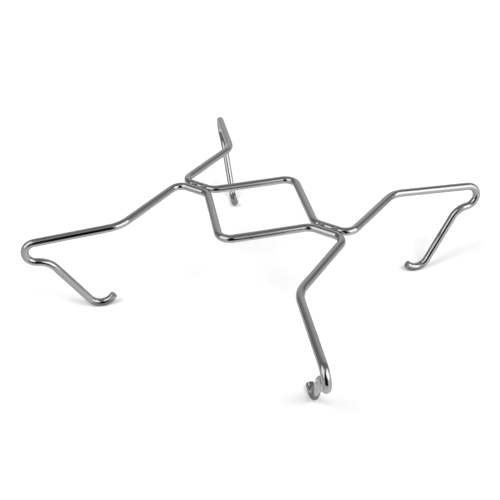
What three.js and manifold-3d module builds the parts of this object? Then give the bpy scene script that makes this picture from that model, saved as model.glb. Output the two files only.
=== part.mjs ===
// A free-standing stand made of two bent round steel rods.
//
// The rods lie side by side and are tack-welded at two corners of the square that they form in the
// middle. Each rod makes one L-shaped half of the square and two of the four arms. An arm runs out
// from its welded joint, turns back under itself in a tight loop, drops as a slanted leg and ends in
// an up-curled hook that stands on the floor.
//
// The frame: the origin is on the floor under the middle of the square, +X runs out along the right
// arm, +Y along the back arm and +Z up. One unit is one millimetre, and angles are in degrees.

import * as THREE from 'three';
import { mergeVertices } from 'three/addons/utils/BufferGeometryUtils.js';
import Module from 'manifold-3d';

// ---------------------------------------------------------------------------------------------
// Driving dimensions
// ---------------------------------------------------------------------------------------------

const ROD_RADIUS = 3.25;
const SQUARE_HEIGHT = 78.25;        // from the floor to the centre line of the square's sides
const CLEARANCE = 0.3;             // between the two rods, and between a bead and a rod

// The square: its open corner, its side, and the stretch where the rods lie side by side.
const CORNER_ANGLE = 92.5;
const CORNER_RADIUS = 10.5;
const SIDE_LENGTH = 56;
const EASING_RADIUS = 12.5;        // the bend from the side into the welded stretch
const WELDED_LENGTH = 16;

// The arm: out of the joint, then round onto the line from the middle outwards.
const JOINT_ANGLE = 88.5;
const JOINT_RADIUS = 10;
const SLANTED_LENGTH = 56;
const ARM_ANGLE = 42;
const ARM_RADIUS = 23;
const ARM_LENGTH = 59.5;
const SLANT_DROOP = 1.5;           // how far the bends are rolled over, so that the arms fall a little
const ARM_DROOP = 3;

// The loop, the leg and the hook, which are bent in one upright plane.
const LOOP_ANGLE = 166;
const LOOP_RADIUS = 9.3;
const RETURN_LENGTH = 2;
const KNEE_ANGLE = 48.5;
const KNEE_RADIUS = 17.5;
const HOOK_RADIUS = 11.4;
const HOOK_TIP_LENGTH = 2.7;

// The legs are bent by hand. A lean tips the leg to the left, seen from the middle of the stand,
// and a curl is the angle that the hook turns through.
const LEGS = {
  left: { lean: 0, curl: 108 },
  front: { lean: 4, curl: 80 },
  right: { lean: -8, curl: 96 },
  back: { lean: -3, curl: 93 },
};

// The weld beads, two on top of each joint, placed along the joint line from the joint's middle.
const BEAD_HALF_LENGTH = 3.4;
const BEAD_HALF_WIDTH = 2.9;
const BEAD_HALF_HEIGHT = 1.85;
const BEAD_LIFT = 1.3;             // from the rods' centre lines up to the bead's middle
const BEAD_PLACES = {
  back_left: { inner: -6, outer: 3.5 },
  front_right: { inner: -6, outer: 5.5 },
};

// How finely the round shapes are cut into flat faces.
const SECTION_SIDES = 12;          // a multiple of 4, so that one face points straight up
const BEND_STEP = 9;
const FOOT_FACE_ANGLE = 8;         // the part of the hook's bend taken by the face it stands on
const BEAD_SIDES = 16;
const BEAD_RINGS = 10;

const UP = new THREE.Vector3(0, 0, 1);
const JOINT_LINE = new THREE.Vector3(1, -1, 0).normalize();   // through both welded joints
const OPEN_CORNER = new THREE.Vector3(-1, -1, 0).normalize(); // towards the front-left rod's corner

const radians = THREE.MathUtils.degToRad;

// ---------------------------------------------------------------------------------------------
// The rod's centre line
// ---------------------------------------------------------------------------------------------

// A rod as a wire bender makes it: fed straight, rolled about its own line, and bent round a radius.
// It leaves a station, with the direction that the section's top faces, wherever the line changes.
class RodBender {
  constructor(position, heading) {
    this.position = position.clone();
    this.heading = heading.clone();
    this.bendAxis = UP.clone();
    this.upright = false;
    this.stations = [];
    this.leaveStation();
  }

  leaveStation() {
    const top = this.upright
      ? new THREE.Vector3().crossVectors(this.heading, this.bendAxis)
      : this.bendAxis.clone();
    this.stations.push({ position: this.position.clone(), heading: this.heading.clone(), top });
  }

  feed(length) {
    this.position.addScaledVector(this.heading, length);
    this.leaveStation();
  }

  roll(angle) {
    this.bendAxis.applyAxisAngle(this.heading, radians(angle));
  }

  // Turns the bending plane upright, so that a positive bend goes down, then tips it by the lean.
  standUpright(lean) {
    this.upright = true;
    this.bendAxis.crossVectors(UP, this.heading).normalize();
    this.roll(lean);
  }

  bend(radius, angle, steps = Math.ceil(Math.abs(angle) / BEND_STEP)) {
    const towardsCentre = new THREE.Vector3().crossVectors(this.bendAxis, this.heading);
    const centre = this.position.clone().addScaledVector(towardsCentre, radius * Math.sign(angle));
    const spoke = this.position.clone().sub(centre);
    for (let step = 0; step < steps; step += 1) {
      spoke.applyAxisAngle(this.bendAxis, radians(angle / steps));
      this.heading.applyAxisAngle(this.bendAxis, radians(angle / steps));
      this.position.addVectors(centre, spoke);
      this.leaveStation();
    }
  }

  // The straight leg and its hook. The leg is as long as it takes for the hook to reach the floor.
  bendLegAndHook(curl) {
    const inwards = new THREE.Vector3().crossVectors(this.bendAxis, UP).normalize().negate();
    const dip = THREE.MathUtils.radToDeg(this.heading.angleTo(inwards));
    const leanFactor = Math.hypot(this.bendAxis.x, this.bendAxis.y);
    const hookDepth = HOOK_RADIUS * (1 - Math.cos(radians(dip))) * leanFactor;
    const drop = this.position.z - ROD_RADIUS - hookDepth;
    this.feed(drop / -this.heading.z);
    this.bend(HOOK_RADIUS, dip - FOOT_FACE_ANGLE / 2);
    this.bend(HOOK_RADIUS, FOOT_FACE_ANGLE, 1);
    this.bend(HOOK_RADIUS, curl - dip - FOOT_FACE_ANGLE / 2);
    this.feed(HOOK_TIP_LENGTH);
  }
}

// How far the middle of the open corner lies from the middle of the stand.
function cornerDistance() {
  const half = radians(CORNER_ANGLE / 2);
  const bends = (CORNER_RADIUS + EASING_RADIUS) * (1 - Math.cos(half));
  return bends + SIDE_LENGTH * Math.sin(half) + ROD_RADIUS + CLEARANCE / 2;
}

// How far the middle of a welded joint lies from the middle of the stand.
function jointDistance() {
  const half = radians(CORNER_ANGLE / 2);
  const bends = (CORNER_RADIUS + EASING_RADIUS) * Math.sin(half);
  return bends + SIDE_LENGTH * Math.cos(half) + WELDED_LENGTH / 2;
}

// Half of the front-left rod, from the middle of its corner to the end of one hook. A turn of +1
// runs round by the front-right joint to the front leg, and a turn of -1 is its mirror image.
function halfRodStations(turn, leg) {
  const start = OPEN_CORNER.clone().multiplyScalar(cornerDistance()).setZ(SQUARE_HEIGHT);
  const rod = new RodBender(start, JOINT_LINE.clone().multiplyScalar(turn));
  rod.bend(CORNER_RADIUS, (CORNER_ANGLE / 2) * turn);
  rod.feed(SIDE_LENGTH);
  rod.bend(EASING_RADIUS, (-CORNER_ANGLE / 2) * turn);
  rod.feed(WELDED_LENGTH);
  rod.roll(SLANT_DROOP * turn);
  rod.bend(JOINT_RADIUS, -JOINT_ANGLE * turn);
  rod.roll(-ARM_DROOP * turn);
  rod.feed(SLANTED_LENGTH);
  rod.bend(ARM_RADIUS, ARM_ANGLE * turn);
  rod.standUpright(leg.lean);
  rod.feed(ARM_LENGTH);
  rod.bend(LOOP_RADIUS, LOOP_ANGLE);
  rod.feed(RETURN_LENGTH);
  rod.bend(KNEE_RADIUS, -KNEE_ANGLE);
  rod.bendLegAndHook(leg.curl);
  return rod.stations;
}

// The whole centre line, from the first leg's hook to the second's. It is a curve whose points are
// the stations themselves: close together in the bends, and only at the ends of a straight.
class RodCurve extends THREE.Curve {
  constructor(firstLeg, secondLeg) {
    super();
    const firstHalf = halfRodStations(-1, firstLeg).reverse();
    for (const station of firstHalf) {
      station.heading.negate();
    }
    this.stations = [...firstHalf, ...halfRodStations(1, secondLeg).slice(1)];
    this.lastStation = this.stations.length - 1;
  }

  getPointAt(u, target = new THREE.Vector3()) {
    return target.copy(this.stations[Math.round(u * this.lastStation)].position);
  }

  computeFrenetFrames() {
    const tangents = this.stations.map((station) => station.heading);
    const binormals = this.stations.map((station) => station.top);
    const normals = this.stations.map(({ heading, top }) => (
      new THREE.Vector3().crossVectors(top, heading)
    ));
    return { tangents, normals, binormals };
  }
}

// ---------------------------------------------------------------------------------------------
// Solids
// ---------------------------------------------------------------------------------------------

// A round section whose flat faces lie on the circle, with one face straight up.
function rodSection(radius) {
  const halfSide = Math.PI / SECTION_SIDES;
  const corners = [];
  for (let side = 0; side < SECTION_SIDES; side += 1) {
    const angle = (2 * side + 1) * halfSide;
    const reach = radius / Math.cos(halfSide);
    corners.push(new THREE.Vector2(reach * Math.cos(angle), reach * Math.sin(angle)));
  }
  return new THREE.Shape(corners);
}

function rodGeometry(curve, radius) {
  return new THREE.ExtrudeGeometry(rodSection(radius), {
    steps: curve.lastStation,
    extrudePath: curve,
    bevelEnabled: false,
  });
}

const wasm = await Module();
wasm.setup();

function toManifold(geometry) {
  const bare = geometry.clone();
  bare.deleteAttribute('normal');
  bare.deleteAttribute('uv');
  const merged = mergeVertices(bare);
  return new wasm.Manifold(new wasm.Mesh({
    numProp: 3,
    vertProperties: new Float32Array(merged.attributes.position.array),
    triVerts: new Uint32Array(merged.index.array),
  }));
}

function toGeometry(solid) {
  const mesh = solid.getMesh();
  const geometry = new THREE.BufferGeometry();
  geometry.setAttribute('position', new THREE.BufferAttribute(new Float32Array(mesh.vertProperties), 3));
  geometry.setIndex(new THREE.BufferAttribute(new Uint32Array(mesh.triVerts), 1));
  geometry.computeVertexNormals();
  return geometry;
}

// A rounded lump in the groove between the rods, hollowed underneath to sit clear of both.
function beadGeometry(distanceAlongJointLine, rodSpaces) {
  const lump = new THREE.SphereGeometry(1, BEAD_SIDES, BEAD_RINGS);
  lump.scale(BEAD_HALF_LENGTH, BEAD_HALF_WIDTH, BEAD_HALF_HEIGHT);
  lump.rotateZ(Math.atan2(JOINT_LINE.y, JOINT_LINE.x));
  const middle = JOINT_LINE.clone().multiplyScalar(distanceAlongJointLine);
  lump.translate(middle.x, middle.y, SQUARE_HEIGHT + BEAD_LIFT);
  let bead = toManifold(lump);
  for (const rodSpace of rodSpaces) {
    bead = bead.subtract(rodSpace);
  }
  return toGeometry(bead);
}

// ---------------------------------------------------------------------------------------------
// Materials: drawn stainless rod, and duller weld metal
// ---------------------------------------------------------------------------------------------

function rodSteel() {
  return new THREE.MeshStandardMaterial({ color: 0xb4b4b2, roughness: 0.28, metalness: 1 });
}

function weldSteel() {
  return new THREE.MeshStandardMaterial({ color: 0x9a9a98, roughness: 0.4, metalness: 1 });
}

// ---------------------------------------------------------------------------------------------
// The stand
// ---------------------------------------------------------------------------------------------

function namedMesh(name, geometry, material) {
  const mesh = new THREE.Mesh(geometry, material);
  mesh.name = name;
  return mesh;
}

// The back-right rod is bent like the front-left one, so it is made there and turned half round.
const rods = {
  rod_front_left: { curve: new RodCurve(LEGS.left, LEGS.front), turned: 0 },
  rod_back_right: { curve: new RodCurve(LEGS.right, LEGS.back), turned: Math.PI },
};

const group = new THREE.Group();

for (const [name, { curve, turned }] of Object.entries(rods)) {
  const rod = namedMesh(name, rodGeometry(curve, ROD_RADIUS), rodSteel());
  rod.rotation.z = turned;
  group.add(rod);
}

const rodSpaces = Object.values(rods).map(({ curve, turned }) => (
  toManifold(rodGeometry(curve, ROD_RADIUS + CLEARANCE).rotateZ(turned))
));

for (const [joint, places] of Object.entries(BEAD_PLACES)) {
  const side = joint === 'front_right' ? 1 : -1;
  for (const [place, offset] of Object.entries(places)) {
    const geometry = beadGeometry(side * (jointDistance() + offset), rodSpaces);
    group.add(namedMesh(`weld_${joint}_${place}`, geometry, weldSteel()));
  }
}

export default group;
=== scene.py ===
import math
from collections import namedtuple

import bpy
from mathutils import Matrix, Quaternion, Vector, noise


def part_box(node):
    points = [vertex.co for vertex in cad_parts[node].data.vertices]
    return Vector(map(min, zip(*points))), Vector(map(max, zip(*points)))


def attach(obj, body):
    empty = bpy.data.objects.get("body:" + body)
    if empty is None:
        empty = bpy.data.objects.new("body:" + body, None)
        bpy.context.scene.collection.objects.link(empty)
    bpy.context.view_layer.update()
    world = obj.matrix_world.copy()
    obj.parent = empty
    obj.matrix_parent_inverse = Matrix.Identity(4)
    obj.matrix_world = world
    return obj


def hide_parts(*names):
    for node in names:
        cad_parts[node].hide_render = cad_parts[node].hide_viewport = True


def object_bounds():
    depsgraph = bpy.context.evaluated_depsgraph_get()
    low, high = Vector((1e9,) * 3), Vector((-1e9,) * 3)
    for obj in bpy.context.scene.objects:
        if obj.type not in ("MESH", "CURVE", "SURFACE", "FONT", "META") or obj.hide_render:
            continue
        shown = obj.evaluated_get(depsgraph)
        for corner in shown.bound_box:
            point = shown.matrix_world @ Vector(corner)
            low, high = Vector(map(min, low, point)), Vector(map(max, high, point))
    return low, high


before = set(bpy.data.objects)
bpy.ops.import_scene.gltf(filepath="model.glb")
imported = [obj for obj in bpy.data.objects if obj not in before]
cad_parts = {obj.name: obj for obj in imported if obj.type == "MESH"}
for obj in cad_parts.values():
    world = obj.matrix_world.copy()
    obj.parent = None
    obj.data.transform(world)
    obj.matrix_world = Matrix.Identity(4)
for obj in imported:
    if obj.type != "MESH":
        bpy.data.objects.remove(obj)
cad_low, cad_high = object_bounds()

# A stand of two bent steel rods, welded to each other at two corners of a square. This script makes
# the camera and the studio, and a detailed piece in place of each plain CAD solid.

# ---------------------------------------------------------------- sizes shared with the CAD part

# Lengths are in metres and angles in degrees.
MM = 0.001
ROD_RADIUS = 3.25 * MM
SQUARE_HEIGHT = 78.25 * MM
CLEARANCE = 0.3 * MM
CORNER_ANGLE = 92.5
CORNER_RADIUS = 10.5 * MM
SIDE_LENGTH = 56.0 * MM
EASING_RADIUS = 12.5 * MM
WELDED_LENGTH = 16.0 * MM
JOINT_ANGLE = 88.5
JOINT_RADIUS = 10.0 * MM
SLANTED_LENGTH = 56.0 * MM
ARM_ANGLE = 42.0
ARM_RADIUS = 23.0 * MM
ARM_LENGTH = 59.5 * MM
SLANT_DROOP = 1.5
ARM_DROOP = 3.0
LOOP_ANGLE = 166.0
LOOP_RADIUS = 9.3 * MM
RETURN_LENGTH = 2.0 * MM
KNEE_ANGLE = 48.5
KNEE_RADIUS = 17.5 * MM
HOOK_RADIUS = 11.4 * MM
HOOK_TIP_LENGTH = 2.7 * MM
# For each leg: which way its half of the rod bends, its sideways lean, how far its hook curls up.
LEGS = {
    "left": (-1, 0.0, 108.0),
    "front": (1, 4.0, 80.0),
    "right": (-1, -8.0, 96.0),
    "back": (1, -3.0, 93.0),
}
# For each rod: its first leg, its last leg, and whether it is turned half round.
RODS = {
    "rod_front_left": ("left", "front", False),
    "rod_back_right": ("right", "back", True),
}
BEAD_HALF_LENGTH = 3.4 * MM
BEAD_HALF_HEIGHT = 1.85 * MM
BEAD_LIFT = 1.3 * MM
BEADS = (
    "weld_back_left_inner",
    "weld_back_left_outer",
    "weld_front_right_inner",
    "weld_front_right_outer",
)
UP = Vector((0.0, 0.0, 1.0))
JOINT_LINE = Vector((1.0, -1.0, 0.0)).normalized()
OPEN_CORNER = Vector((-1.0, -1.0, 0.0)).normalized()
NO_CURVE = Vector((0.0, 0.0, 0.0))

# ---------------------------------------------------------------- sizes of the shown surfaces

# How finely the rods are made.
SIDES = 40
BEND_STEP = 2.0
STRAIGHT_STEP = 1.5 * MM

# How a real rod differs from a plain tube.
BEND_EASING = 2.2 * MM
BEND_FLATTENING = 0.075
NEARLY_STRAIGHT = 1e-6
# Waves of its surface: how they vary round it, how long they are, their start, share of the radius.
WAVES = (
    (0.9, 9.0 * MM, Vector((0.0, 0.0, 0.0)), 0.0035),
    (0.6, 31.0 * MM, Vector((7.0, 3.0, 0.0)), 0.006),
)

# The sawn end of a rod: how far back from the tip, share of the radius, share of saw marks.
END_LENGTH = 0.8 * MM
END_RINGS = (
    (0.60 * MM, 1.000, 0.0),
    (0.36 * MM, 0.996, 0.0),
    (0.20 * MM, 0.982, 0.1),
    (0.09 * MM, 0.958, 0.35),
    (0.03 * MM, 0.925, 0.7),
    (0.01 * MM, 0.885, 1.0),
    (0.02 * MM, 0.80, 1.0),
    (0.03 * MM, 0.66, 1.0),
    (0.02 * MM, 0.50, 1.0),
    (0.03 * MM, 0.34, 1.0),
    (0.02 * MM, 0.17, 1.0),
)
SAW_DEPTH = 0.012 * MM
SAW_LINES_PER_METRE = 5200
SAW_BREAKS_PER_METRE = 900

# How far the heat of a bead tints the rods, and where the rods are rubbed.
HEAT_REACH = 15.0 * MM
BEND_RUBBING = 1.5
RUBBED_FOOT_HEIGHT = 1.6 * MM

# The shown bead wets both rods a little further than the plain CAD bead.
BEAD_RUN_OUT = 3.7 * MM
BEAD_RINGS = 27
BEAD_SECTORS = 72
BEAD_DOME_LENGTH = BEAD_HALF_LENGTH * 0.93
BEAD_EDGE_FALL = 4.0 * MM
BEAD_LUMP_SIZE = 1.9 * MM
BEAD_LUMP_DEPTH = 0.14 * MM
BEAD_RIPPLE_SPACING = 0.95 * MM
BEAD_RIPPLE_DEPTH = 0.03 * MM
BEAD_RIPPLE_BOW = 0.8
BEAD_TOP_MARGIN = 0.03 * MM
BEAD_SINK = 0.05 * MM
BEAD_EDGE_BLEND = 0.12 * MM
BEAD_BOTTOM = 0.1 * MM

Station = namedtuple("Station", "point heading curve")
Ring = namedtuple("Ring", "middle side up curve distance share sawn")


def turned(vector, axis, degrees):
    """The vector turned about the axis."""
    return Quaternion(axis, math.radians(degrees)) @ vector


# ---------------------------------------------------------------- camera

# The place, aim and lens that show the CAD part as the photo shows the object.
CAMERA_AZIMUTH = 10.11
CAMERA_ELEVATION = 35.29
CAMERA_ROLL = 2.27
CAMERA_DISTANCE = 653.57 * MM
CAMERA_AIM = Vector((-5.88, 18.24, 24.16)) * MM
CAMERA_LENS = 53.47
CAMERA_SENSOR = 36.0


def make_camera():
    """The camera at the photo's angle."""
    azimuth = math.radians(CAMERA_AZIMUTH)
    elevation = math.radians(CAMERA_ELEVATION)
    level_right = Vector((math.cos(azimuth), -math.sin(azimuth), 0.0))
    forward = Vector((
        math.sin(azimuth) * math.cos(elevation),
        math.cos(azimuth) * math.cos(elevation),
        -math.sin(elevation),
    ))
    right = turned(level_right, forward, CAMERA_ROLL)
    up = right.cross(forward)
    data = bpy.data.cameras.new("camera")
    data.sensor_width = CAMERA_SENSOR
    data.lens = CAMERA_LENS
    camera = bpy.data.objects.new("camera", data)
    turn = Matrix((right, up, -forward)).transposed().to_4x4()
    camera.matrix_world = Matrix.Translation(CAMERA_AIM - forward * CAMERA_DISTANCE) @ turn
    bpy.context.scene.collection.objects.link(camera)
    bpy.context.scene.camera = camera


# ---------------------------------------------------------------- centre lines of the rods


class RodBender:
    """Follows a rod's centre line the way a wire bender makes it: feed, roll and bend."""

    def __init__(self, point, heading):
        self.point = point.copy()
        self.heading = heading.normalized()
        self.axis = UP.copy()
        self.stations = []
        self.mark(NO_CURVE)

    def mark(self, curve):
        """Notes a station. The curve points at the bend's centre and is one over its radius long."""
        self.stations.append(Station(self.point.copy(), self.heading.copy(), curve))

    def feed(self, length):
        """Runs the rod straight on."""
        start = self.point.copy()
        steps = max(1, math.ceil(length / STRAIGHT_STEP))
        for step in range(1, steps + 1):
            self.point = start + self.heading * (length * step / steps)
            self.mark(NO_CURVE)

    def roll(self, degrees):
        """Turns the plane of the next bend about the rod."""
        self.axis = turned(self.axis, self.heading, degrees)

    def bend(self, radius, degrees):
        """Bends the rod round a centre beside it. The sign of the angle says on which side."""
        towards = self.axis.cross(self.heading) * math.copysign(1.0, degrees)
        centre = self.point + towards * radius
        heading = self.heading.copy()
        steps = max(1, math.ceil(abs(degrees) / BEND_STEP))
        for step in range(1, steps + 1):
            angle = degrees * step / steps
            inwards = turned(towards, self.axis, angle)
            self.point = centre - inwards * radius
            self.heading = turned(heading, self.axis, angle)
            self.mark(inwards / radius)

    def stand_upright(self, lean):
        """From here the rod bends in an upright plane, leaned a little sideways."""
        self.axis = UP.cross(self.heading).normalized()
        self.roll(lean)


def corner_distance():
    """From the middle of the square to the centre line at the middle of a plain corner."""
    half = math.radians(CORNER_ANGLE / 2)
    sideways = (CORNER_RADIUS + EASING_RADIUS) * (1 - math.cos(half))
    return sideways + SIDE_LENGTH * math.sin(half) + ROD_RADIUS + CLEARANCE / 2


def leg_length(rod):
    """The straight length that a leg needs for its hook to touch the floor."""
    inwards = -rod.axis.cross(UP).normalized()
    dip = rod.heading.angle(inwards)
    lean_factor = math.hypot(rod.axis.x, rod.axis.y)
    hook_drop = HOOK_RADIUS * (1 - math.cos(dip)) * lean_factor
    return (rod.point.z - ROD_RADIUS - hook_drop) / -rod.heading.z


def half_rod(leg):
    """Stations from the middle of a plain corner out to the tip of one leg."""
    turn, lean, curl = LEGS[leg]
    rod = RodBender(OPEN_CORNER * corner_distance() + UP * SQUARE_HEIGHT, JOINT_LINE * turn)
    rod.bend(CORNER_RADIUS, CORNER_ANGLE / 2 * turn)
    rod.feed(SIDE_LENGTH)
    rod.bend(EASING_RADIUS, -CORNER_ANGLE / 2 * turn)
    rod.feed(WELDED_LENGTH)
    rod.roll(SLANT_DROOP * turn)
    rod.bend(JOINT_RADIUS, -JOINT_ANGLE * turn)
    rod.roll(-ARM_DROOP * turn)
    rod.feed(SLANTED_LENGTH)
    rod.bend(ARM_RADIUS, ARM_ANGLE * turn)
    rod.stand_upright(lean)
    rod.feed(ARM_LENGTH)
    rod.bend(LOOP_RADIUS, LOOP_ANGLE)
    rod.feed(RETURN_LENGTH)
    rod.bend(KNEE_RADIUS, -KNEE_ANGLE)
    rod.feed(leg_length(rod))
    rod.bend(HOOK_RADIUS, curl)
    rod.feed(HOOK_TIP_LENGTH)
    return rod.stations


def whole_rod(first_leg, last_leg, half_turn):
    """Stations of a rod from the tip of its first leg to the tip of its last leg."""
    first = [Station(point, -heading, curve) for point, heading, curve in half_rod(first_leg)]
    stations = first[:0:-1] + half_rod(last_leg)
    if not half_turn:
        return stations
    spin = Matrix.Rotation(math.pi, 3, "Z")
    return [Station(spin @ point, spin @ heading, spin @ curve) for point, heading, curve in stations]


def travelled(stations):
    """Distance of each station from the rod's first tip, along the rod."""
    distances = [0.0]
    for before, after in zip(stations, stations[1:]):
        distances.append(distances[-1] + (after.point - before.point).length)
    return distances


def softened_curves(stations, distances):
    """The curves eased into one another, because a rod doesn't start to bend at a line."""
    softened = []
    for here in distances:
        total = Vector((0.0, 0.0, 0.0))
        weight_sum = 0.0
        for index, there in enumerate(distances):
            gap = abs(there - here)
            if gap > 2 * BEND_EASING:
                continue
            before = distances[max(index - 1, 0)]
            after = distances[min(index + 1, len(distances) - 1)]
            weight = math.exp(-((gap / BEND_EASING) ** 2)) * (after - before)
            total += stations[index].curve * weight
            weight_sum += weight
        softened.append(total / weight_sum)
    return softened


def section_axes(stations):
    """Two directions across the rod at each station, carried along without twist."""
    heading = stations[0].heading
    side = heading.orthogonal().normalized()
    axes = []
    for station in stations:
        side = heading.rotation_difference(station.heading) @ side
        side = (side - station.heading * side.dot(station.heading)).normalized()
        heading = station.heading
        axes.append((side, heading.cross(side)))
    return axes


# ---------------------------------------------------------------- meshes


def new_mesh(name, points, faces):
    """A mesh from its points and faces."""
    mesh = bpy.data.meshes.new(name)
    mesh.from_pydata(points, [], faces)
    mesh.update()
    return mesh


def add_values(mesh, name, values):
    """Stores one number or one vector for every vertex."""
    if isinstance(values[0], tuple):
        layer = mesh.attributes.new(name, "FLOAT_VECTOR", "POINT")
        layer.data.foreach_set("vector", [number for value in values for number in value])
    else:
        layer = mesh.attributes.new(name, "FLOAT", "POINT")
        layer.data.foreach_set("value", values)


def around(step, sides, turn):
    """A place on a ring and the next one, in the order of the turn."""
    pair = (step, (step + 1) % sides)
    return pair if turn == 1 else pair[::-1]


def band_faces(ring_count, sides, turn):
    """Faces between neighbouring rings. The turn says which side of them is outside."""
    faces = []
    for ring in range(ring_count - 1):
        low = ring * sides
        high = low + sides
        for step in range(sides):
            first, second = around(step, sides, turn)
            faces.append((low + first, low + second, high + second, high + first))
    return faces


def cap_faces(ring, sides, centre, turn):
    """Triangles that close a ring with a middle point."""
    faces = []
    for step in range(sides):
        first, second = around(step, sides, turn)
        faces.append((ring * sides + first, ring * sides + second, centre))
    return faces


def bead_middles():
    """Middle of each weld bead, from the CAD."""
    middles = []
    for name in BEADS:
        low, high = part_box(name)
        middle = (low + high) / 2
        middle.z = SQUARE_HEIGHT + BEAD_LIFT
        middles.append(middle)
    return middles


def finish_piece(mesh, name, material):
    """Puts the mesh in the scene as the piece that stands for the CAD node of that name."""
    mesh.shade_smooth()
    mesh.materials.append(material)
    piece = bpy.data.objects.new(name + "_look", mesh)
    bpy.context.scene.collection.objects.link(piece)
    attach(piece, "root")
    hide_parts(name)


# ---------------------------------------------------------------- the rods


def rod_rings(stations):
    """The rings of the rod's mesh, from one sawn end to the other."""
    distances = travelled(stations)
    curves = softened_curves(stations, distances)
    axes = section_axes(stations)
    length = distances[-1]
    rings = []
    for station, (side, up), curve, distance in zip(stations, axes, curves, distances):
        if END_LENGTH <= distance <= length - END_LENGTH:
            rings.append(Ring(station.point, side, up, curve, distance, 1.0, 0.0))
    first = stations[0]
    last = stations[-1]
    first_end = []
    last_end = []
    for back, share, sawn in END_RINGS:
        first_middle = first.point + first.heading * back
        last_middle = last.point - last.heading * back
        first_end.append(Ring(first_middle, *axes[0], curves[0], back, share, sawn))
        last_end.append(Ring(last_middle, *axes[-1], curves[-1], length - back, share, sawn))
    return first_end[::-1] + rings + last_end


def section_radius(radial, curve, distance, angle):
    """Radius of the rod in one direction: a little flat in tight bends, and never quite even."""
    sharpness = curve.length * ROD_RADIUS
    inwards = radial.dot(curve.normalized()) if curve.length > NEARLY_STRAIGHT else 0.0
    flat = BEND_FLATTENING * sharpness * inwards * inwards
    uneven = 0.0
    for width, length, start, depth in WAVES:
        sample = Vector((math.cos(angle) * width, math.sin(angle) * width, distance / length))
        uneven += depth * (0.5 + 0.5 * noise.noise(sample + start))
    return ROD_RADIUS * (1.0 - flat - uneven)


def saw_height(point, seed):
    """Height of the saw's lines at a point of the cut face."""
    sample = Vector((
        point.x * SAW_BREAKS_PER_METRE + seed,
        point.z * SAW_LINES_PER_METRE,
        point.y * SAW_BREAKS_PER_METRE,
    ))
    return SAW_DEPTH * noise.noise(sample)


def heat_at(point, beads):
    """From 0 to 1, how close a point is to a weld."""
    nearest = min((point - bead).length for bead in beads)
    return max(0.0, 1.0 - nearest / HEAT_REACH)


def rubbing_at(point, radial, curve):
    """From 0 to 1, how rubbed a point is: outside of the bends, and under the feet."""
    outside = max(0.0, -radial.dot(curve) * ROD_RADIUS * BEND_RUBBING)
    low_down = max(0.0, 1.0 - point.z / RUBBED_FOOT_HEIGHT)
    return min(1.0, outside + low_down)


def rod_surface(rings, seed):
    """The rod's points, and the values that its steel is painted by."""
    beads = bead_middles()
    points = []
    values = {"straightened": [], "heat": [], "sawn": [], "rubbed": []}
    for ring in rings:
        for step in range(SIDES):
            angle = 2 * math.pi * step / SIDES
            radial = ring.side * math.cos(angle) + ring.up * math.sin(angle)
            radius = section_radius(radial, ring.curve, ring.distance + seed, angle) * ring.share
            point = ring.middle + radial * radius
            if ring.sawn == 1.0:
                point += ring.side.cross(ring.up) * saw_height(point, seed)
            points.append(point)
            flat_place = (radius * math.cos(angle), radius * math.sin(angle), ring.distance + seed)
            values["straightened"].append(flat_place)
            values["heat"].append(heat_at(point, beads))
            values["sawn"].append(ring.sawn)
            values["rubbed"].append(rubbing_at(point, radial, ring.curve))
    # A middle point for each end.
    for ring in (rings[0], rings[-1]):
        points.append(ring.middle.copy())
        values["straightened"].append((0.0, 0.0, ring.distance + seed))
        values["heat"].append(0.0)
        values["sawn"].append(1.0)
        values["rubbed"].append(0.0)
    return points, values


def make_rod(name, stations, material, seed):
    """One bent rod, with sawn ends, as a closed mesh."""
    rings = rod_rings(stations)
    points, values = rod_surface(rings, seed)
    first_centre = len(points) - 2
    faces = band_faces(len(rings), SIDES, 1)
    faces += cap_faces(0, SIDES, first_centre, -1)
    faces += cap_faces(len(rings) - 1, SIDES, first_centre + 1, 1)
    mesh = new_mesh(name, points, faces)
    for value_name in values:
        add_values(mesh, value_name, values[value_name])
    finish_piece(mesh, name, material)


# ---------------------------------------------------------------- the weld beads


def smooth_larger(first, second, width):
    """The larger of two heights, with a rounded step between them."""
    overlap = max(width - abs(first - second), 0.0) / width
    return max(first, second) + overlap * overlap * width / 4


def groove_height(across):
    """Height of the two rods' upper surface over their centre lines, at a distance from the joint."""
    from_centre = abs(abs(across) - ROD_RADIUS - CLEARANCE / 2)
    return math.sqrt(max(0.0, ROD_RADIUS**2 - from_centre**2))


def bead_height(along, across, seed):
    """Height of the bead's top over the rods' centre lines."""
    spread = (along / BEAD_DOME_LENGTH) ** 2 + (across / BEAD_RUN_OUT) ** 2
    if spread < 1:
        dome = BEAD_HALF_HEIGHT * math.sqrt(1 - spread**1.5)
    else:
        dome = -BEAD_EDGE_FALL * (spread - 1)
    sample = Vector((along / BEAD_LUMP_SIZE, across / BEAD_LUMP_SIZE, seed))
    lump = BEAD_LUMP_DEPTH * noise.noise(sample)
    crescent = (along + BEAD_RIPPLE_BOW * across * across / BEAD_RUN_OUT) / BEAD_RIPPLE_SPACING
    ripple = BEAD_RIPPLE_DEPTH * math.sin(2 * math.pi * crescent) * max(0.0, 1 - spread)
    raised = min(BEAD_LIFT + dome + lump + ripple, ROD_RADIUS - BEAD_TOP_MARGIN)
    return smooth_larger(raised, groove_height(across) - BEAD_SINK, BEAD_EDGE_BLEND)


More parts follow.
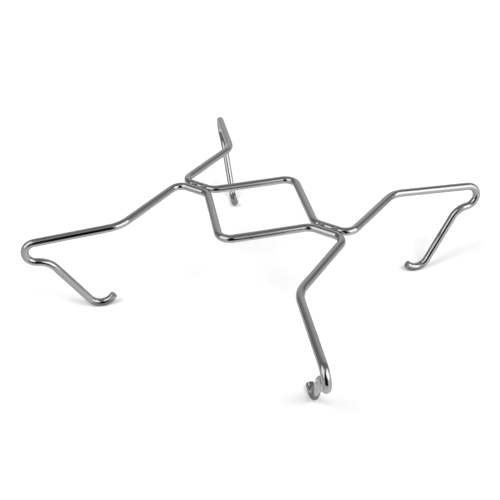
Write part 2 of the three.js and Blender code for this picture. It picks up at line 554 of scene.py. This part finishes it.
def bead_points(middle, seed):
    """Rings of points over the bead's top, then its topmost and its lowest middle point."""
    level = middle.z - BEAD_LIFT
    points = []
    for ring in range(BEAD_RINGS):
        share = (ring + 1) / BEAD_RINGS
        for sector in range(BEAD_SECTORS):
            angle = 2 * math.pi * sector / BEAD_SECTORS
            along = BEAD_HALF_LENGTH * share * math.cos(angle)
            across = BEAD_RUN_OUT * share * math.sin(angle)
            flat = middle + JOINT_LINE * along + OPEN_CORNER * across
            points.append(Vector((flat.x, flat.y, level + bead_height(along, across, seed))))
    points.append(Vector((middle.x, middle.y, level + bead_height(0.0, 0.0, seed))))
    points.append(Vector((middle.x, middle.y, level - BEAD_BOTTOM)))
    return points


def make_bead(name, middle, material, seed):
    """One weld bead: a rippled lump that fills the groove and runs out onto both rods."""
    points = bead_points(middle, seed)
    top = len(points) - 2
    faces = band_faces(BEAD_RINGS, BEAD_SECTORS, -1)
    faces += cap_faces(0, BEAD_SECTORS, top, 1)
    faces += cap_faces(BEAD_RINGS - 1, BEAD_SECTORS, top + 1, -1)
    finish_piece(new_mesh(name, points, faces), name, material)


# ---------------------------------------------------------------- node trees


class NodeKit:
    """A node tree, and short calls for the nodes that the materials and the room share."""

    def __init__(self, tree):
        self.tree = tree
        self.tree.nodes.clear()

    def node(self, kind):
        """A new node."""
        return self.tree.nodes.new(kind)

    def link(self, source, target):
        """A link between two sockets."""
        self.tree.links.new(source, target)

    def give(self, socket, value):
        """Gives a socket a plain value, or links it to another node."""
        if isinstance(value, (float, tuple)):
            socket.default_value = value
        else:
            self.link(value, socket)

    def maths(self, operation, first, second):
        """One sum of two values."""
        node = self.node("ShaderNodeMath")
        node.operation = operation
        self.give(node.inputs[0], first)
        self.give(node.inputs[1], second)
        return node.outputs["Value"]

    def ranged(self, value, from_low, from_high, to_low, to_high, easing="LINEAR"):
        """The value moved from one range to another, and kept inside it."""
        node = self.node("ShaderNodeMapRange")
        node.interpolation_type = easing
        node.inputs["From Min"].default_value = from_low
        node.inputs["From Max"].default_value = from_high
        node.inputs["To Min"].default_value = to_low
        node.inputs["To Max"].default_value = to_high
        self.link(value, node.inputs["Value"])
        return node.outputs["Result"]


class Shader(NodeKit):
    """A material's nodes."""

    def __init__(self, name):
        self.material = bpy.data.materials.new(name)
        self.material.use_nodes = True
        super().__init__(self.material.node_tree)
        self.surface = self.node("ShaderNodeBsdfPrincipled")
        output = self.node("ShaderNodeOutputMaterial")
        self.link(self.surface.outputs["BSDF"], output.inputs["Surface"])

    def attribute(self, name, output="Fac"):
        """A value stored on the mesh."""
        node = self.node("ShaderNodeAttribute")
        node.attribute_name = name
        return node.outputs[output]

    def place(self):
        """Where a point is on the object, in metres."""
        return self.node("ShaderNodeTexCoord").outputs["Object"]

    def stretched(self, vector, x, y, z):
        """The place with each direction scaled. A small scale draws a pattern out."""
        node = self.node("ShaderNodeMapping")
        node.inputs["Scale"].default_value = (x, y, z)
        self.link(vector, node.inputs["Vector"])
        return node.outputs["Vector"]

    def cloud(self, vector, scale, detail=3.0, roughness=0.55):
        """Soft random patches, about this many to a metre."""
        node = self.node("ShaderNodeTexNoise")
        node.inputs["Scale"].default_value = scale
        node.inputs["Detail"].default_value = detail
        node.inputs["Roughness"].default_value = roughness
        self.link(vector, node.inputs["Vector"])
        return node.outputs["Fac"]

    def blended(self, share, first, second, how="MIX"):
        """Two colours mixed by a share of the second."""
        node = self.node("ShaderNodeMix")
        node.data_type = "RGBA"
        node.blend_type = how
        inputs = {socket.identifier: socket for socket in node.inputs}
        outputs = {socket.identifier: socket for socket in node.outputs}
        self.give(inputs["Factor_Float"], share)
        self.give(inputs["A_Color"], first)
        self.give(inputs["B_Color"], second)
        return outputs["Result_Color"]

    def ramp(self, value, stops):
        """A colour for each value, from stops."""
        node = self.node("ShaderNodeValToRGB")
        elements = node.color_ramp.elements
        elements[0].position, elements[0].color = stops[0]
        elements[1].position, elements[1].color = stops[-1]
        for position, colour in stops[1:-1]:
            elements.new(position).color = colour
        self.link(value, node.inputs["Fac"])
        return node.outputs["Color"]

    def bump(self, height, depth, strength, under=None):
        """Relief this deep, on top of the relief under it."""
        node = self.node("ShaderNodeBump")
        node.inputs["Distance"].default_value = depth
        node.inputs["Strength"].default_value = strength
        self.link(height, node.inputs["Height"])
        if under is not None:
            self.link(under, node.inputs["Normal"])
        return node.outputs["Normal"]


# ---------------------------------------------------------------- materials

STEEL_DARK = (0.375, 0.373, 0.373, 1.0)
STEEL_LIGHT = (0.440, 0.438, 0.438, 1.0)
STEEL_IN_LINES = (0.345, 0.343, 0.343, 1.0)
STEEL_IN_SCORES = (0.24, 0.236, 0.230, 1.0)
STEEL_UNDER_GRIME = (0.28, 0.272, 0.262, 1.0)
SAWN_DARK = (0.27, 0.262, 0.25, 1.0)
SAWN_LIGHT = (0.40, 0.392, 0.378, 1.0)
STEEL_EDGE_TINT = (0.72, 0.72, 0.72, 1.0)
WELD_DARK = (0.25, 0.249, 0.246, 1.0)
WELD_LIGHT = (0.37, 0.368, 0.365, 1.0)
WELD_IN_PITS = (0.14, 0.13, 0.12, 1.0)

# Tints of the steel, from far away from a weld to close to it.
HEAT_TINTS = (
    (0.00, (1.00, 1.00, 1.00, 1.0)),
    (0.35, (1.00, 0.99, 0.98, 1.0)),
    (0.55, (0.99, 0.96, 0.91, 1.0)),
    (0.70, (0.90, 0.86, 0.81, 1.0)),
    (0.82, (0.84, 0.85, 0.88, 1.0)),
    (1.00, (0.86, 0.85, 0.83, 1.0)),
)
# Faint colours of the weld metal itself.
WELD_TINTS = (
    (0.30, (0.92, 0.93, 0.96, 1.0)),
    (0.50, (1.00, 0.99, 0.98, 1.0)),
    (0.70, (0.98, 0.94, 0.88, 1.0)),
)


def drawn_lines(shader, straight, stretch, per_metre, detail=3.0):
    """Lines along the rod: a cloud drawn out along its length."""
    return shader.cloud(shader.stretched(straight, 1.0, 1.0, stretch), per_metre, detail)


def steel_patterns(shader):
    """The patterns that colour, roughness and relief of the rods are made from."""
    straight = shader.attribute("straightened", "Vector")
    scores = drawn_lines(shader, straight, 0.05, 3800.0, 1.0)
    return {
        "wide lines": drawn_lines(shader, straight, 0.012, 1500.0),
        "fine lines": drawn_lines(shader, straight, 0.02, 7500.0, 2.0),
        "clouds": drawn_lines(shader, straight, 0.3, 240.0, 4.0),
        "grime": shader.cloud(straight, 900.0, 5.0, 0.7),
        "scores": shader.ranged(scores, 0.66, 0.72, 0.0, 1.0),
        "saw lines": shader.cloud(shader.stretched(shader.place(), 0.25, 0.25, 3.0), 2600.0),
        "sawn": shader.attribute("sawn"),
        "heat": shader.attribute("heat"),
        "rubbed": shader.attribute("rubbed"),
    }


def steel_colour(shader, patterns):
    """Grey steel with darker lines, scores and grime, a heat tint, and duller sawn ends."""
    lines = shader.ranged(patterns["wide lines"], 0.35, 0.65, 0.0, 0.35)
    scores = shader.maths("MULTIPLY", patterns["scores"], 0.35)
    grime = shader.ranged(patterns["grime"], 0.58, 0.75, 0.0, 0.25)
    colour = shader.blended(patterns["clouds"], STEEL_DARK, STEEL_LIGHT)
    colour = shader.blended(lines, colour, STEEL_IN_LINES)
    colour = shader.blended(scores, colour, STEEL_IN_SCORES)
    colour = shader.blended(grime, colour, STEEL_UNDER_GRIME)
    uneven = shader.ranged(patterns["clouds"], 0.0, 1.0, -0.12, 0.12)
    tint = shader.ramp(shader.maths("ADD", patterns["heat"], uneven), HEAT_TINTS)
    colour = shader.blended(0.8, colour, tint, "MULTIPLY")
    sawn_colour = shader.blended(patterns["saw lines"], SAWN_DARK, SAWN_LIGHT)
    return shader.blended(patterns["sawn"], colour, sawn_colour)


def steel_roughness(shader, patterns):
    """Bright metal, a little duller where it is clouded, dirty, rubbed, heated or sawn."""
    rough = shader.ranged(patterns["wide lines"], 0.3, 0.7, 0.045, 0.10)
    for name, low, high, least, most in (
        ("clouds", 0.3, 0.7, -0.02, 0.03),
        ("grime", 0.55, 0.8, 0.0, 0.12),
        ("rubbed", 0.2, 1.0, 0.0, 0.07),
        ("heat", 0.4, 1.0, 0.0, 0.10),
        ("sawn", 0.2, 1.0, 0.0, 0.28),
    ):
        rough = shader.maths("ADD", rough, shader.ranged(patterns[name], low, high, least, most))
    return rough


def steel_relief(shader, patterns):
    """Drawing lines, scores and the saw's marks as fine relief."""
    normal = shader.bump(patterns["wide lines"], 0.03 * MM, 0.20)
    normal = shader.bump(patterns["fine lines"], 0.01 * MM, 0.14, normal)
    normal = shader.bump(patterns["scores"], 0.01 * MM, -0.25, normal)
    saw_marks = shader.maths("MULTIPLY", patterns["saw lines"], patterns["sawn"])
    return shader.bump(saw_marks, 0.08 * MM, 0.6, normal)


def drawn_steel():
    """Bright drawn steel: lines along the rod, faint clouds, rubbed spots, sawn ends, heat tint."""
    shader = Shader("drawn_steel")
    patterns = steel_patterns(shader)
    inputs = shader.surface.inputs
    shader.link(steel_colour(shader, patterns), inputs["Base Color"])
    shader.link(steel_roughness(shader, patterns), inputs["Roughness"])
    shader.link(steel_relief(shader, patterns), inputs["Normal"])
    inputs["Metallic"].default_value = 1.0
    inputs["Specular Tint"].default_value = STEEL_EDGE_TINT
    return shader.material


def weld_steel():
    """Weld metal: a fine skin, small darker pits and a faint tint."""
    shader = Shader("weld_steel")
    inputs = shader.surface.inputs
    place = shader.place()
    clouds = shader.cloud(place, 900.0, 4.0)
    pits = shader.ranged(shader.cloud(place, 3200.0, 3.0), 0.60, 0.72, 0.0, 1.0)
    skin = shader.cloud(place, 6500.0, 3.0, 0.7)

    colour = shader.blended(clouds, WELD_DARK, WELD_LIGHT)
    colour = shader.blended(0.5, colour, shader.ramp(clouds, WELD_TINTS), "MULTIPLY")
    colour = shader.blended(shader.maths("MULTIPLY", pits, 0.5), colour, WELD_IN_PITS)
    shader.link(colour, inputs["Base Color"])

    rough = shader.ranged(clouds, 0.3, 0.7, 0.06, 0.14)
    rough = shader.maths("ADD", rough, shader.maths("MULTIPLY", pits, 0.25))
    shader.link(rough, inputs["Roughness"])

    normal = shader.bump(skin, 0.03 * MM, 0.10)
    normal = shader.bump(pits, 0.04 * MM, -0.3, normal)
    shader.link(normal, inputs["Normal"])

    inputs["Metallic"].default_value = 1.0
    inputs["Specular Tint"].default_value = STEEL_EDGE_TINT
    return shader.material


def floor_paint():
    """Plain pale floor."""
    shader = Shader("floor_paint")
    grain = shader.cloud(shader.place(), 35.0, 4.0)
    colour = shader.blended(grain, (0.895, 0.895, 0.895, 1.0), (0.905, 0.905, 0.905, 1.0))
    shader.link(colour, shader.surface.inputs["Base Color"])
    rough = shader.ranged(grain, 0.3, 0.7, 0.85, 0.95)
    shader.link(rough, shader.surface.inputs["Roughness"])
    shader.surface.inputs["Specular IOR Level"].default_value = 0.1
    return shader.material


def dull_paint(name, dark, light):
    """A dull surface of the studio that only the steel mirrors."""
    shader = Shader(name)
    grain = shader.cloud(shader.place(), 60.0, 4.0)
    shader.link(shader.blended(grain, dark, light), shader.surface.inputs["Base Color"])
    shader.surface.inputs["Roughness"].default_value = 0.9
    shader.surface.inputs["Specular IOR Level"].default_value = 0.0
    return shader.material


# ---------------------------------------------------------------- studio

FLOOR_LEVEL = min(cad_low.z, 0.0)
FLOOR_REACH = 4.0
FLOOR_WHITE = 0.9

# Softboxes: name, azimuth, elevation, width, height, brightness.
SOFTBOX_DISTANCE = 1.6
SOFTBOXES = (
    ("softbox_right", 122.0, 26.0, 1.45, 1.45, 2.1),
    ("softbox_left", -124.0, 35.0, 1.4, 1.7, 1.55),
)
# Floor lights: name, azimuth, elevation, how wide they look in degrees, how white they make the floor.
FLOOR_LIGHT_DISTANCE = 2.0
FLOOR_LIGHTS = (
    ("high_right", 147.0, 56.0, 25.0, 0.32),
    ("high_left", -124.0, 59.0, 25.0, 0.32),
    ("low_right", 112.0, 30.0, 30.0, 0.09),
    ("low_left", -112.0, 34.0, 30.0, 0.09),
)

# Each patch of the room: azimuth, elevation, half width, how soft its edge is, brightness.
ROOM_DARKEST = 0.02
ROOM_BASE = 0.34
ROOM_PATCHES = (
    (8.0, 8.0, 58.0, 0.8, 0.70),
    (90.0, 10.0, 28.0, 0.6, 0.34),
    (110.0, 0.0, 22.0, 0.6, 0.30),
    (156.0, 33.0, 22.0, 0.6, 0.85),
    (-160.0, 70.0, 25.0, 0.6, 0.20),
)
# Below the horizon the steel sees a pale sweep, a little different in each direction too.
SWEEP_BASE = 1.40
SWEEP_PATCHES = (
    (0.0, -4.0, 48.0, 0.7, -0.40),
    (68.0, -15.0, 35.0, 0.6, -0.28),
    (180.0, -25.0, 40.0, 0.6, -0.30),
    (-100.0, -25.0, 60.0, 0.6, -0.40),
)
# How steeply a ray points where the sweep is full, and where it has faded into the room.
SWEEP_FULL = -0.03
SWEEP_GONE = 0.01
# What the camera itself sees behind the floor.
BACKDROP_WHITE = 1.35

# The dark shape of whoever stands behind the camera, broad below and narrower above:
# heights over the floor and half widths.
DARK_CARD_DISTANCE = 0.70
DARK_CARD_STEPS = (
    (-0.22, 0.31),
    (0.12, 0.31),
    (0.16, 0.20),
    (0.80, 0.17),
)
# Grey discs of painted shadow under the hooks: how wide they are and how far over the floor they lie.
FOOT_SHADE_RADIUS = 13.0 * MM
FOOT_SHADE_LIFT = 0.01 * MM


def direction(azimuth, elevation):
    """A direction seen from the object: azimuth 0 is straight away from the camera, 90 is right."""
    turn = math.radians(azimuth + CAMERA_AZIMUTH)
    rise = math.radians(elevation)
    return Vector((
        math.sin(turn) * math.cos(rise),
        math.cos(turn) * math.cos(rise),
        math.sin(rise),
    ))


def add_light(name, data, azimuth, elevation, distance):
    """Puts a light round the object, looking at its middle."""
    light = bpy.data.objects.new(name, data)
    outwards = direction(azimuth, elevation)
    light.location = outwards * distance + UP * (SQUARE_HEIGHT / 2)
    light.rotation_euler = outwards.to_track_quat("Z", "Y").to_euler()
    light.visible_camera = False
    bpy.context.scene.collection.objects.link(light)
    return light


def make_softbox(name, azimuth, elevation, width, height, radiance):
    """A rectangular softbox, there only for its reflection in the steel."""
    data = bpy.data.lights.new(name, "AREA")
    data.shape = "RECTANGLE"
    data.size = width
    data.size_y = height
    data.energy = radiance * math.pi * width * height
    light = add_light(name, data, azimuth, elevation, SOFTBOX_DISTANCE)
    light.visible_diffuse = False


def make_floor_light(name, azimuth, elevation, width, level):
    """A soft far light that whitens the floor by this level and throws a faint shadow."""
    data = bpy.data.lights.new(name, "SUN")
    data.angle = math.radians(width)
    data.energy = level * math.pi / (FLOOR_WHITE * math.sin(math.radians(elevation)))
    light = add_light(name, data, azimuth, elevation, FLOOR_LIGHT_DISTANCE)
    light.visible_glossy = False


def make_floor():
    """A wide floor under the object."""
    corners = [
        (-FLOOR_REACH, -FLOOR_REACH, FLOOR_LEVEL),
        (FLOOR_REACH, -FLOOR_REACH, FLOOR_LEVEL),
        (FLOOR_REACH, FLOOR_REACH, FLOOR_LEVEL),
        (-FLOOR_REACH, FLOOR_REACH, FLOOR_LEVEL),
    ]
    mesh = new_mesh("floor", corners, [(0, 1, 2, 3)])
    mesh.materials.append(floor_paint())
    floor = bpy.data.objects.new("floor", mesh)
    bpy.context.scene.collection.objects.link(floor)
    # The steel mirrors the room's own lower half, so the floor itself isn't mirrored.
    floor.visible_glossy = False


def stage_for_reflection(name, corners, faces, material):
    """A stage piece that only the steel mirrors."""
    mesh = new_mesh(name, corners, faces)
    mesh.materials.append(material)
    staged = bpy.data.objects.new(name, mesh)
    bpy.context.scene.collection.objects.link(staged)
    staged.visible_camera = False
    staged.visible_diffuse = False
    staged.visible_shadow = False


def make_dark_card():
    """A black card behind the camera, there only for its reflection in the steel."""
    outwards = direction(180.0, 0.0)
    sideways = outwards.cross(UP)
    corners = []
    for height, half_width in DARK_CARD_STEPS:
        middle = outwards * DARK_CARD_DISTANCE + UP * height
        corners += [middle - sideways * half_width, middle + sideways * half_width]
    faces = [(low, low + 1, low + 3, low + 2) for low in range(0, len(corners) - 2, 2)]
    black = dull_paint("black_cloth", (0.006, 0.006, 0.006, 1.0), (0.012, 0.012, 0.012, 1.0))
    stage_for_reflection("dark_card", corners, faces, black)


def foot_of(leg, half_turn):
    """The lowest point of a leg's centre line."""
    lowest = min((station.point for station in half_rod(leg)), key=lambda point: point.z)
    return Vector((-lowest.x, -lowest.y, lowest.z)) if half_turn else lowest


def make_foot_shades():
    """Grey discs of painted shadow on the floor under each hook, there only for their reflection in
    the steel.
    """
    shade = dull_paint("floor_shade", (0.34, 0.34, 0.34, 1.0), (0.38, 0.38, 0.38, 1.0))
    for first_leg, last_leg, half_turn in RODS.values():
        for leg in (first_leg, last_leg):
            foot = foot_of(leg, half_turn)
            corners = []
            for step in range(SIDES):
                angle = 2 * math.pi * step / SIDES
                corners.append((
                    foot.x + FOOT_SHADE_RADIUS * math.cos(angle),
                    foot.y + FOOT_SHADE_RADIUS * math.sin(angle),
                    FLOOR_LEVEL + FOOT_SHADE_LIFT,
                ))
            stage_for_reflection("foot_shade_" + leg, corners, [tuple(range(SIDES))], shade)


class Room(NodeKit):
    """The world's nodes."""

    def __init__(self):
        self.world = bpy.data.worlds.new("room")
        self.world.use_nodes = True
        super().__init__(self.world.node_tree)
        self.view = self.node("ShaderNodeTexCoord").outputs["Generated"]

    def towards(self, axis):
        """How much a ray points along the axis, from -1 to 1."""
        node = self.node("ShaderNodeVectorMath")
        node.operation = "DOT_PRODUCT"
        node.inputs[1].default_value = axis
        self.link(self.view, node.inputs[0])
        return node.outputs["Value"]

    def patchwork(self, base, patches):
        """A brightness for every direction: the base and its patches."""
        level = base
        for azimuth, elevation, half_width, softness, brightness in patches:
            outer = math.cos(math.radians(half_width))
            inner = math.cos(math.radians(half_width * (1 - softness)))
            facing = self.towards(direction(azimuth, elevation))
            patch = self.ranged(facing, outer, inner, 0.0, brightness, "SMOOTHSTEP")
            level = self.maths("ADD", patch, level)
        return self.maths("MAXIMUM", level, ROOM_DARKEST)


def make_room():
    """Soft light from all around, a little different in each direction."""
    room = Room()
    above = room.patchwork(ROOM_BASE, ROOM_PATCHES)
    below = room.patchwork(SWEEP_BASE, SWEEP_PATCHES)
    under = room.ranged(room.towards(UP), SWEEP_FULL, SWEEP_GONE, 1.0, 0.0, "SMOOTHSTEP")
    level = room.maths("MULTIPLY", room.maths("SUBTRACT", below, above), under)
    level = room.maths("ADD", level, above)
    # The camera itself sees a plain white backdrop behind the floor.
    seen = room.node("ShaderNodeLightPath").outputs["Is Camera Ray"]
    level = room.maths("MAXIMUM", level, room.maths("MULTIPLY", seen, BACKDROP_WHITE))
    background = room.node("ShaderNodeBackground")
    room.link(level, background.inputs["Strength"])
    output = room.node("ShaderNodeOutputWorld")
    room.link(background.outputs["Background"], output.inputs["Surface"])
    bpy.context.scene.world = room.world


def make_studio():
    """Floor, room and lights."""
    make_floor()
    make_room()
    make_dark_card()
    make_foot_shades()
    for softbox in SOFTBOXES:
        make_softbox(*softbox)
    for floor_light in FLOOR_LIGHTS:
        make_floor_light(*floor_light)
    bpy.context.scene.view_settings.view_transform = "Standard"


# ---------------------------------------------------------------- the object

# How far apart the pieces lie in the random patterns.
ROD_SEED_STEP = 1.7
BEAD_SEED_STEP = 3.1


def make_object():
    """The two rods and the four weld beads."""
    steel = drawn_steel()
    weld = weld_steel()
    for number, (name, (first_leg, last_leg, half_turn)) in enumerate(RODS.items()):
        stations = whole_rod(first_leg, last_leg, half_turn)
        make_rod(name, stations, steel, ROD_SEED_STEP * number)
    for number, (name, middle) in enumerate(zip(BEADS, bead_middles())):
        make_bead(name, middle, weld, BEAD_SEED_STEP * number)


make_camera()
make_studio()
make_object()
